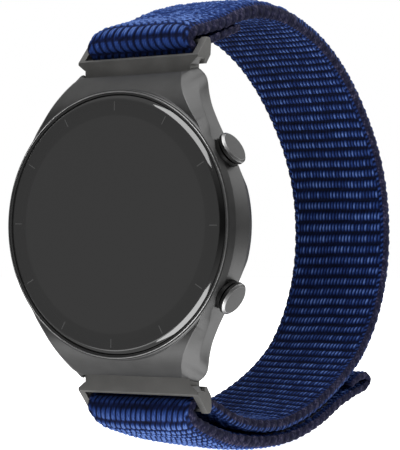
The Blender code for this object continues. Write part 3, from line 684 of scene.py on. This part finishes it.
def build_adapters():
    """The adapters: a flat plate on a round root, set-back arms beside the slot and a round outer bar."""
    for word, side in (("upper", 1), ("lower", -1)):
        def flipped(outline):
            return [(y, side * z) for y, z in outline]

        adapter = prism(f"{word}_link_frame", flipped(ADAPTER), -FRAME_HALF, FRAME_HALF)
        cutters = [prism("slot", flipped(SLOT), -SLOT_HALF, SLOT_HALF)]
        front = min(y for y, z in ADAPTER)
        for hand in (1, -1):
            ends = sorted((hand * PLATE_HALF, hand * (FRAME_HALF + 1)))
            cutters.append(prism("shoulder", flipped(SHOULDER_CUT), *ends))
            corners = [(hand * x, front - 1, side * z) for x, z in CORNER_CUT]
            cutters.append(slab("corner", corners, (0, 1 + CORNER_DEPTH, 0)))
        bar_y, bar_z = BAR_SPOT
        ends = [(x, bar_y, side * bar_z) for x in (-13, 13)]
        cutters.append(rod("bore", BAR_BORE_RADIUS, *ends))
        cut(adapter, *cutters)
        ends = [(x, OUTER_BAR[0], side * OUTER_BAR[1]) for x in (-OUTER_BAR_HALF, OUTER_BAR_HALF)]
        cut(adapter, rod("outer_bar", OUTER_BAR_RADIUS, *ends), operation="UNION")
        bevel = adapter.modifiers.new("edges", "BEVEL")
        bevel.width = ADAPTER_BEVEL * MM
        bevel.segments = 2
        bevel.limit_method = "ANGLE"
        bevel.angle_limit = math.radians(32)
        applied(adapter)
        shade(adapter, 40)
        stand_for(adapter, "adapter_black", "adapter_black", f"{word}_link", f"{word}_adapter")


# ================ woven band

# Middle line of the whole band in the side view, (y, z, thickness): from the sewn return behind the upper
# adapter, round its bar, round the wrist, through the lower adapter, back along the outside and into the tab
BAND = [(13.3, 35.1, 1.4), (8.0, 33.3, 1.4), (3.4, 31.7, 1.4), (0.4, 29.7, 1.4), (-1.5, 29.7, 1.4),
        (-2.65, 30.9, 1.6), (-2.2, 32.1, 1.7), (-0.6, 32.95, 1.7), (3.2, 33.9, 1.8), (8.0, 35.2, 1.9),
        (13.45, 37.1, 2.1), (20.0, 38.6, 2.3), (26.85, 38.9, 2.4), (33.5, 38.1, 2.4), (42.5, 35.6, 2.4),
        (51.0, 31.2, 2.4), (58.5, 25.1, 2.4), (65.3, 17.0, 2.4), (69.3, 8.5, 2.4), (70.5, 0.0, 2.4),
        (69.4, -8.5, 2.4), (65.6, -16.7, 2.4), (60.0, -23.2, 2.3), (53.5, -27.5, 2.2), (46.0, -30.9, 2.2),
        (38.0, -33.5, 2.2), (29.5, -35.1, 2.2), (24.0, -35.2, 2.2), (18.45, -34.7, 2.2), (12.0, -33.3, 2.1),
        (6.85, -31.5, 2.0), (3.0, -30.1, 1.8), (0.5, -29.3, 1.4), (-1.5, -29.7, 1.4), (-2.7, -30.9, 1.6),
        (-2.1, -32.2, 1.7), (-0.5, -33.3, 1.8), (1.6, -34.1, 1.8), (4.95, -35.1, 1.8), (9.0, -36.1, 1.8),
        (12.85, -36.8, 1.8), (19.1, -37.6, 1.8), (27.4, -37.95, 1.8), (34.1, -37.4, 1.8), (41.3, -35.9, 1.8),
        (48.5, -33.6, 1.8), (51.15, -32.8, 1.7), (56.5, -31.7, 1.6), (61.0, -30.8, 1.5), (62.4, -29.6, 1.5),
        (61.3, -28.6, 1.5), (58.5, -28.9, 1.4), (55.0, -30.1, 1.1)]
BAND_STEP = 0.2
HOOK_ROW, HOOK_GAP, HOOK_STEP = 0.9, 0.8, 0.2  # hook spacing and mesh step
HOOK_BACKING, HOOK_HEIGHT, HOOK_SINK = 0.3, 0.62, 0.2
FACE_HALF = STRAP_HALF - 0.6  # where the faces turn into the rounded edge
WHIP_START = FACE_HALF - 0.45  # where the small stitches that hold the edging begin
WHIP_PITCH, KNIT_PITCH = 1.08, 0.62  # stitches that hold the edging, and those it is knitted from
WHIP_SHARE = -0.3  # how far round the edge the blue stitches of the loop side reach
TILT = 0.6  # how much lower the right edging hangs than the middle, under the wrist
CROWN = 1.3  # how much thicker the outer face is in the middle than at the edging
SPREAD = 0.035  # share by which the strap widens in the slots
BRIGHTEST = 0.83  # tone of a yarn in full light on the outer faces
SLOT_SHADE = 0.45  # painted shade: how much darker the yarn is painted inside the slots
# Weave of the wrist side, the loop side and the tail's outer side: row height, stitch width, share of the row
# that stands up, lean of the stitches, whether each next row leans back, yarns to a stitch, where the first
# row starts, and how sharply the light on a yarn falls off to its sides
WRIST_WEAVE = (2.32, 0.74, 0.76, 0.25, False, 1, 0.0, 1.6)
LOOP_WEAVE = (1.5, 1.42, 0.84, 0.75, True, 2, 0.6, 2.3)
TAIL_WEAVE = (1.6, 1.04, 0.86, 0.45, False, 2, 0.99, 1.9)


def scatter(i, j, seed):
    """A repeatable number from 0 to 1 for each pair of whole numbers."""
    mixed = np.sin(i * 127.1 + j * 311.7 + seed * 74.7) * 43758.5453
    return mixed - np.floor(mixed)


def lattice_noise(x, y, seed):
    """Smooth noise from 0 to 1 with one bump a unit."""
    i, j = np.floor(x), np.floor(y)
    fx, fy = x - i, y - j
    fx, fy = fx * fx * (3 - 2 * fx), fy * fy * (3 - 2 * fy)
    near = scatter(i, j, seed) * (1 - fx) + scatter(i + 1, j, seed) * fx
    far = scatter(i, j + 1, seed) * (1 - fx) + scatter(i + 1, j + 1, seed) * fx
    return near * (1 - fy) + far * fy


def hump(t, power=0.5):
    """A round bump over each whole number interval, with a sharp valley between."""
    return np.sin(np.pi * (t - np.floor(t))) ** power


def woven(along, across, weave, seed):
    """Height and tone of rows of yarn floats: raised rows, with narrow sunk rows set off by half a stitch."""
    row, stitch, share, lean, herringbone, yarns, offset, thin = weave
    sway = 0.12 * (lattice_noise(along / 9, across / 5, seed) - 0.5)
    level = along / row + offset + sway
    index, part = np.floor(level), level - np.floor(level)
    raised = part < share
    inside = np.where(raised, part / share, (part - share) / (1 - share))
    lean = lean * (np.where(index % 2 < 0.5, 1.0, -0.6) if herringbone else 1.0)
    wander = 0.5 * scatter(index, 3.0, seed)
    column = across / stitch + np.where(raised, 0.0, 0.5) + wander + lean * (inside - 0.5)
    column = column + 0.2 * (lattice_noise(along / 2.1, across / 1.3, seed + 1) - 0.5)
    kind = index * 2 + raised
    luck = scatter(kind, np.floor(column), seed + 2)
    rib, yarn = hump(inside, 0.4), hump(column, 0.7)
    strand = 0.4 + 0.6 * hump(column * yarns, 1.2) if yarns > 1 else 1.0
    height = np.where(raised, 0.42 * rib * (0.35 + 0.65 * yarn), 0.14 * rib * yarn) * (0.86 + 0.28 * luck)
    # the tone is partly painted light: a painted highlight along the crown of each yarn and strand, and
    # painted shade in the sunk rows and in the gaps between yarns, with a random tone per stitch
    bright = rib * yarn ** thin * strand
    tone = np.where(raised, 0.1 * rib + 0.8 * bright, 0.02 + 0.2 * rib * yarn) * (0.78 + 0.4 * luck)
    return height - 0.3, tone


def edging_yarn(along, share, whipped, seed):
    """Height, tone and greyness of the edge: small grey knitted stitches, with blue ones over part of it."""
    row = np.floor(along / KNIT_PITCH)
    knit = hump(along / KNIT_PITCH + 0.8 * share, 0.6) * hump(2.2 * share + 0.5 * (row % 2), 0.6)
    speckle = lattice_noise(along / 0.4, share / 0.3, seed)
    coarse = lattice_noise(along / 0.9, share / 0.5, seed + 1)
    whip = hump(along / WHIP_PITCH + 0.45 * share, 1.3)
    is_grey = share > whipped
    bead = hump(along / WRIST_WEAVE[0] + 0.25 * share, 0.7)
    height = np.where(is_grey, 0.1 * knit + 0.06 * speckle - 0.12, 0.16 * whip - 0.14) + 0.24 * bead - 0.12
    # the grey tone is lighter on the crowns of the knitted stitches and beads and darker between them, and
    # the blue whip stitches likewise: painted highlight and painted shade, with the speckle and coarse noise
    # as the yarn's own random tone
    grey_tone = (0.14 + knit * (0.15 + 0.6 * speckle) + 0.25 * (coarse - 0.5)) * (0.7 + 0.45 * bead)
    return height, np.where(is_grey, grey_tone, 0.72 * whip), is_grey * 1.0


def beside(line, lift):
    """Side-view places at a distance to the right of the band's middle line, as the band is walked."""
    tangent = np.gradient(line[:, :2], axis=0)
    tangent /= np.linalg.norm(tangent, axis=1)[:, None]
    y, z, way_y, way_z = (values[:, None] for values in (line[:, 0], line[:, 1], *tangent.T))
    return y + way_z * lift, z - way_y * lift


def cross_section():
    """Ring of the band as (across, share of half thickness, side): wrist face, edge, loop face, edge."""
    face = np.linspace(-FACE_HALF, FACE_HALF, 137)
    back = np.linspace(FACE_HALF, -FACE_HALF, 123)
    turn = np.linspace(90, -90, 12)[1:-1]
    bulge = STRAP_HALF - FACE_HALF
    right = [(FACE_HALF + bulge * math.cos(math.radians(a)), math.sin(math.radians(a)), 0) for a in turn]
    left = [(-x, n, 0) for x, n, _ in reversed(right)]
    return np.array([*[(x, 1.0, 1) for x in face], *right, *[(x, -1.0, -1) for x in back], *left])


def band_surface(line, along, state, loop_span):
    """Points, tone and edging of a stretch of band; loop_span is where the loop face is the outer one."""
    ring = cross_section()
    across, share, side = ring[None, :, 0], ring[None, :, 1], ring[None, :, 2]
    s = along[:, None]
    brush, sunk, swell, tilt = (column[:, None] for column in state.T)
    on_tail = s > loop_span[1]
    slim = 1 - 0.1 * np.clip((np.abs(across) - WHIP_START) / 1.0, 0, 1)
    wrist_height, wrist_tone = woven(s, across + 0 * s, WRIST_WEAVE, 1)
    tail_height, tail_tone = woven(s, across + 0 * s, TAIL_WEAVE, 4)
    wrist_height = np.where(on_tail, tail_height, wrist_height)
    # near the slots the tail's tone is darkened by SLOT_SHADE as painted shade
    tail_tone = np.minimum(1.75 * tail_tone, BRIGHTEST) * (1 - SLOT_SHADE * sunk)
    wrist_tone = np.where(on_tail, tail_tone, 0.88 * wrist_tone)
    loop_height, loop_tone = woven(s, across + 0 * s, LOOP_WEAVE, 7)
    tuft = lattice_noise(s / 0.42, across / 0.36, 5)
    clump = lattice_noise(s / 1.3, across / 1.1, 6)
    loop_height = loop_height * (1 - 0.6 * brush) + brush * (0.32 * tuft + 0.3 * clump - 0.26) + 0.05 * tuft
    pile_tone = 0.14 + 0.4 * tuft + 0.16 * clump
    loop_tone = loop_tone * (1 - 0.6 * brush) + brush * pile_tone + 0.1 * (tuft - 0.5)
    # near the slots the loop side's tone is darkened by SLOT_SHADE as painted shade
    loop_tone = np.minimum(loop_tone * (1.8 - 0.8 * brush), BRIGHTEST) * (1 - SLOT_SHADE * sunk)
    whipped = np.where((s > loop_span[0]) & ~on_tail, WHIP_SHARE, -2.0)
    edge_height, edge_tone, greyness = edging_yarn(s, share + 0 * s, whipped, 9)
    border = np.abs(across) - WHIP_START
    stitch = hump(s / WHIP_PITCH + 0.5 * border, 1.2)
    on_wrist, on_loop = side > 0.5, side < -0.5
    whip = (border > 0) & (on_wrist | on_loop)
    height = np.where(on_wrist, wrist_height, np.where(on_loop, loop_height, edge_height))
    tone = np.where(on_wrist, wrist_tone, np.where(on_loop, loop_tone, edge_tone))
    height = np.where(whip, 0.18 * stitch - 0.24, height)
    # the whip stitches' tone is a painted highlight on each stitch's crown and painted shade between
    # stitches, with random tone from the tufts
    tone = np.where(whip, 0.02 + 0.66 * stitch * (0.6 + 0.5 * tuft), tone)
    edging = np.where(on_wrist | on_loop, 0.0, greyness)
    half = line[:, 2][:, None] / 2
    outer = np.where(on_tail, np.maximum(share, 0), np.maximum(-share, 0))
    crown = swell * outer * (1 - np.abs(across / STRAP_HALF) ** 5)
    lift = half * share * slim + height * share + crown * share / np.maximum(np.abs(share), 0.01)
    y, z = beside(line, lift)
    z = z - tilt * across / STRAP_HALF
    across = across * (1 + SPREAD * sunk)
    out = across + height * np.where(side == 0, np.sign(across) * np.sqrt(np.maximum(1 - share ** 2, 0)), 0)
    return np.stack([out, y, z], axis=-1), tone, edging, np.broadcast_to(ring[None, :, 0], tone.shape)


def band_piece(name, line, along, state, loop_span):
    """One stretch of band as a closed mesh with its tone, edging and weave coordinates."""
    points, tone, edging, across = band_surface(line, along, state, loop_span)
    rows, columns = tone.shape
    quads = sheet_quads(rows, columns)[:, ::-1]
    mesh = quad_mesh(name, points.reshape(-1, 3), quads, end_caps(rows, columns))
    for key, values in (("tone", tone), ("edging", edging)):
        attribute = mesh.attributes.new(key, "FLOAT", "POINT")
        attribute.data.foreach_set("value", np.clip(values, 0, 1).astype(np.float32).ravel())
    corner = np.zeros(len(mesh.loops), np.int32)
    mesh.loops.foreach_get("vertex_index", corner)
    weave = np.stack([np.broadcast_to(along[:, None], tone.shape), across], axis=-1).reshape(-1, 2)
    mesh.uv_layers.new(name="weave").data.foreach_set("uv", weave[corner].astype(np.float32).ravel())
    mesh.shade_smooth()
    return paint(link(name, mesh), "woven_nylon")


def build_band():
    line, along, knots = smooth_line(BAND, BAND_STEP)

    def at(knot):
        return int(np.argmin(np.abs(along - knots[knot])))

    def place(knot):
        return (0, BAND[knot][0] * MM, BAND[knot][1] * MM)

    def window(first, last, rise, fall):
        return np.clip((along - first) / rise, 0, 1) * np.clip((last - along) / fall, 0, 1)

    brushed = window(knots[8] - 3, knots[45], 9, 6)
    # sunk marks where the band runs into the slots: it widens the band there and sets the painted shade
    sunk = sum(np.exp(-((along - knots[knot]) / 3.0) ** 2) for knot in (4, 33))
    swell = CROWN * (window(knots[5] - 0.6, knots[25], 2.6, 60) + window(knots[34] - 0.6, knots[46], 2.6, 40))
    tilt = TILT * (window(knots[22], knots[32], 25, 12) + window(knots[36], knots[47], 12, 12))
    state = np.stack([brushed, sunk, swell, tilt], axis=1)
    loop_span = (knots[13], knots[31])
    stretches = {"band_upper_end": (0, 12), "band_loop_top": (12, 16), "band_loop_back": (16, 21),
                 "band_loop_low": (21, 28), "band_lower_end": (28, 38), "band_tail_root": (38, 39),
                 "band_tail_bend": (39, 40), "band_tail": (40, 46), "band_tab": (46, 52)}
    made = {}
    for name, (first, last) in stretches.items():
        cut_out = slice(at(first), at(last) + 1)
        made[name] = band_piece(name, line[cut_out], along[cut_out], state[cut_out], loop_span)
    for name in ("band_loop_top", "band_loop_back", "band_loop_low"):
        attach(made[name], "watch")
        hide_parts("strap_loop")
    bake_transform(made["band_upper_end"])
    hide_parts("upper_strap_flex", "upper_strap_fold")
    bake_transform(made["band_lower_end"])
    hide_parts("lower_strap_flex", "lower_strap_fold")
    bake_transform(made["band_tail_root"])
    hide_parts("tail_flex")
    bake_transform(made["band_tail_bend"])
    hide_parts("tail_flex")
    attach(made["band_tail"], "tail")
    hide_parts("strap_tail")
    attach(made["band_tab"], "tail")
    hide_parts("tail_tab")
    build_hooks(line, along, knots, tilt)


def build_hooks(line, along, knots, tilt):
    """The hook strip on the tail's inner face: a thin backing with rows of small hooks."""
    inside = (along > knots[40]) & (along < knots[46])
    inside &= (line[:, 0] > low("hook_patch").y) & (line[:, 0] < high("hook_patch").y)
    line, s, tilt = line[inside], along[inside][:, None], tilt[inside][:, None]
    half_width = high("hook_patch").x
    across = np.linspace(-half_width, half_width, round(2 * half_width / HOOK_STEP) + 1)
    row = np.floor(s / HOOK_ROW)
    hook = hump(s / HOOK_ROW, 1.5) * hump(across[None, :] / HOOK_GAP + 0.5 * (row % 2), 1.5)
    top = HOOK_BACKING + (HOOK_HEIGHT - HOOK_BACKING) * hook
    top[:, [0, -1]] = HOOK_BACKING
    level = np.concatenate([top, np.zeros_like(top[:, :2])], axis=1)
    across = np.broadcast_to(np.concatenate([across, [half_width, -half_width]]), level.shape)
    y, z = beside(line, -(line[:, 2][:, None] / 2 - HOOK_SINK + level))
    points = np.stack([across, y, z - tilt * across / STRAP_HALF], axis=-1).reshape(-1, 3)
    mesh = quad_mesh("hook_strip", points, sheet_quads(*level.shape)[:, ::-1], end_caps(*level.shape))
    strip = outward("hook_strip", mesh)
    strip.data.shade_smooth()
    stand_for(strip, "hook_strip", "hook_strip", "tail", "hook_patch")


def fabric_material():
    """Nylon yarn: blue floats and grey-violet edging, fine fibres along each yarn, soft sheen."""
    tree, shader = node_tree("woven_nylon")
    tone = add_node(tree, "ShaderNodeAttribute", attribute_name="tone").outputs["Fac"]
    edging = add_node(tree, "ShaderNodeAttribute", attribute_name="edging").outputs["Fac"]
    weave = add_node(tree, "ShaderNodeUVMap", uv_map="weave").outputs["UV"]
    fibre = noise(tree, scaled(tree, weave, (1.3, 6.5, 1.0)), 1.0)
    drift = noise(tree, weave, 0.16, 2.0)
    lifted = maths(tree, "MULTIPLY_ADD", fibre, 0.5, -0.25)
    slow = maths(tree, "MULTIPLY_ADD", drift, 0.16, -0.08)
    total = maths(tree, "ADD", maths(tree, "ADD", tone, lifted), slow)
    blue = ramp(tree, total, (0.06, tint("020619")), (0.3, tint("09153b")), (0.6, tint("203872")),
                (0.95, tint("6a88ca")))
    violet = ramp(tree, total, (0.05, tint("07081a")), (0.45, tint("20213a")), (0.9, tint("58546e")))
    feed(tree, shader, {"Base Color": mixed(tree, edging, blue, violet), "Roughness": 0.7,
                        "Normal": bumped(tree, fibre, 0.8, 0.05), "Specular IOR Level": 0.08,
                        "Sheen Weight": 0.02, "Sheen Roughness": 0.45, "Sheen Tint": (*tint("8aa0e8"), 1.0)})


# ================ inner parts and studio

def finish_inner_parts():
    """Finishes for the CAD nodes that stay: inside the head and on the spring bars."""
    groups = {"board": ["main_board", "sensor_board"], "cell_foil": ["battery", "microphone"],
              "black_plastic": ["display_frame", "speaker"], "black_rubber": ["glass_gasket", "back_gasket"],
              "black_glass": ["display_panel"], "steel": ["vibration_motor"]}
    for word in ("upper", "lower"):
        groups["black_plastic"].append(f"{word}_switch")
        groups["black_rubber"].append(f"{word}_button_oring")
        groups["steel"] += [f"{word}_button_clip", f"{word}_bar_barrel", f"{word}_bar_tip_left",
                            f"{word}_bar_tip_right"]
    for look, names in groups.items():
        for name in names:
            paint(frame["nodes"][name], look)


# Area lights: place in metres, width and height, power
LIGHTS = {"top_box": ((0.09, -0.32, 0.42), (0.36, 0.36), 2.0),
          "low_box": ((0.10, -0.32, -0.40), (0.34, 0.3), 1.9),
          "low_left": ((-0.22, -0.34, -0.3), (0.3, 0.3), 0.5),
          "over_box": ((0.13, 0.05, 0.5), (0.36, 0.36), 0.75),
          "under_box": ((0.13, 0.05, -0.5), (0.36, 0.36), 0.95),
          "back_top": ((0.21, 0.4, 0.27), (0.36, 0.36), 0.5),
          "back_low": ((0.21, 0.4, -0.27), (0.36, 0.36), 0.65)}
AIMS = {"low_left": (0, 0, -0.02)}  # the others aim at the origin

# Brightness of the room from straight down, 0, to straight up, 1
FRONT_ROOM = [(0.0, 0.7), (0.3, 0.4), (0.47, 0.05), (0.56, 0.05), (0.78, 0.35), (0.92, 0.6)]
BACK_ROOM = [(0.0, 0.7), (0.4, 0.4), (0.5, 0.08), (0.6, 0.35), (0.9, 0.5)]


def area_light(name, place, aim, size, power):
    data = bpy.data.lights.new(name, "AREA")
    data.shape = "RECTANGLE"
    data.size, data.size_y = size
    data.energy = power
    light = link(name, data)
    light.location = place
    light.rotation_euler = (Vector(aim) - Vector(place)).to_track_quat("-Z", "Y").to_euler()


def build_world():
    """White behind the object; a plain studio round it, bright below as over a white table."""
    world = bpy.data.worlds.new("studio")
    world.use_nodes = True
    tree = world.node_tree
    direction = add_node(tree, "ShaderNodeTexCoord").outputs["Generated"]
    parts = add_node(tree, "ShaderNodeSeparateXYZ", {0: direction}).outputs
    share = remapped(tree, parts["Z"], (-1.0, 1.0))
    front, back = (ramp(tree, share, *[(at, grey(value)) for at, value in room])
                   for room in (FRONT_ROOM, BACK_ROOM))
    behind = remapped(tree, parts["Y"], (-0.25, 0.5), interpolation_type="SMOOTHSTEP")
    seen = add_node(tree, "ShaderNodeLightPath").outputs["Is Camera Ray"]
    light = mixed(tree, seen, mixed(tree, behind, front, back), (1, 1, 1, 1))
    tree.links.new(light, tree.nodes["Background"].inputs["Color"])
    bpy.context.scene.world = world


def build_studio():
    bpy.context.scene.view_settings.view_transform = "Standard"
    build_world()
    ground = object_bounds()[0].z - 0.0004
    builder = bmesh.new()
    bmesh.ops.create_grid(builder, x_segments=2, y_segments=2, size=4.0,
                          matrix=Matrix.Translation((0, 0, ground)))
    floor = from_bmesh("floor", builder)
    paint(floor, "pale_floor")
    floor.visible_glossy = False
    floor.visible_diffuse = False
    floor.visible_shadow = False
    for name, (place, size, power) in LIGHTS.items():
        area_light(name, place, AIMS.get(name, (0, 0, 0)), size, power)


def build_camera():
    """The camera stands to the right of the watch's front, level with its middle."""
    camera = link("camera", bpy.data.cameras.new("camera"))
    camera.data.lens = 147.69
    camera.data.sensor_width = 36.0
    camera.data.clip_start = 0.01
    forward = Vector((-0.5372, 0.8431, 0.02236)).normalized()
    roll = Matrix.Rotation(math.radians(-0.07), 4, "Z")
    camera.matrix_world = (Matrix.Translation((0.17895, -0.26443, -0.00703))
                           @ forward.to_track_quat("-Z", "Y").to_matrix().to_4x4() @ roll)
    bpy.context.scene.camera = camera


def main():
    build_camera()
    for name, values in FINISHES.items():
        grained(name, *values)
    front_glass_material()
    fabric_material()
    build_case()
    build_front()
    build_back()
    build_buttons()
    build_springs()
    build_adapters()
    build_band()
    finish_inner_parts()
    build_studio()


main()
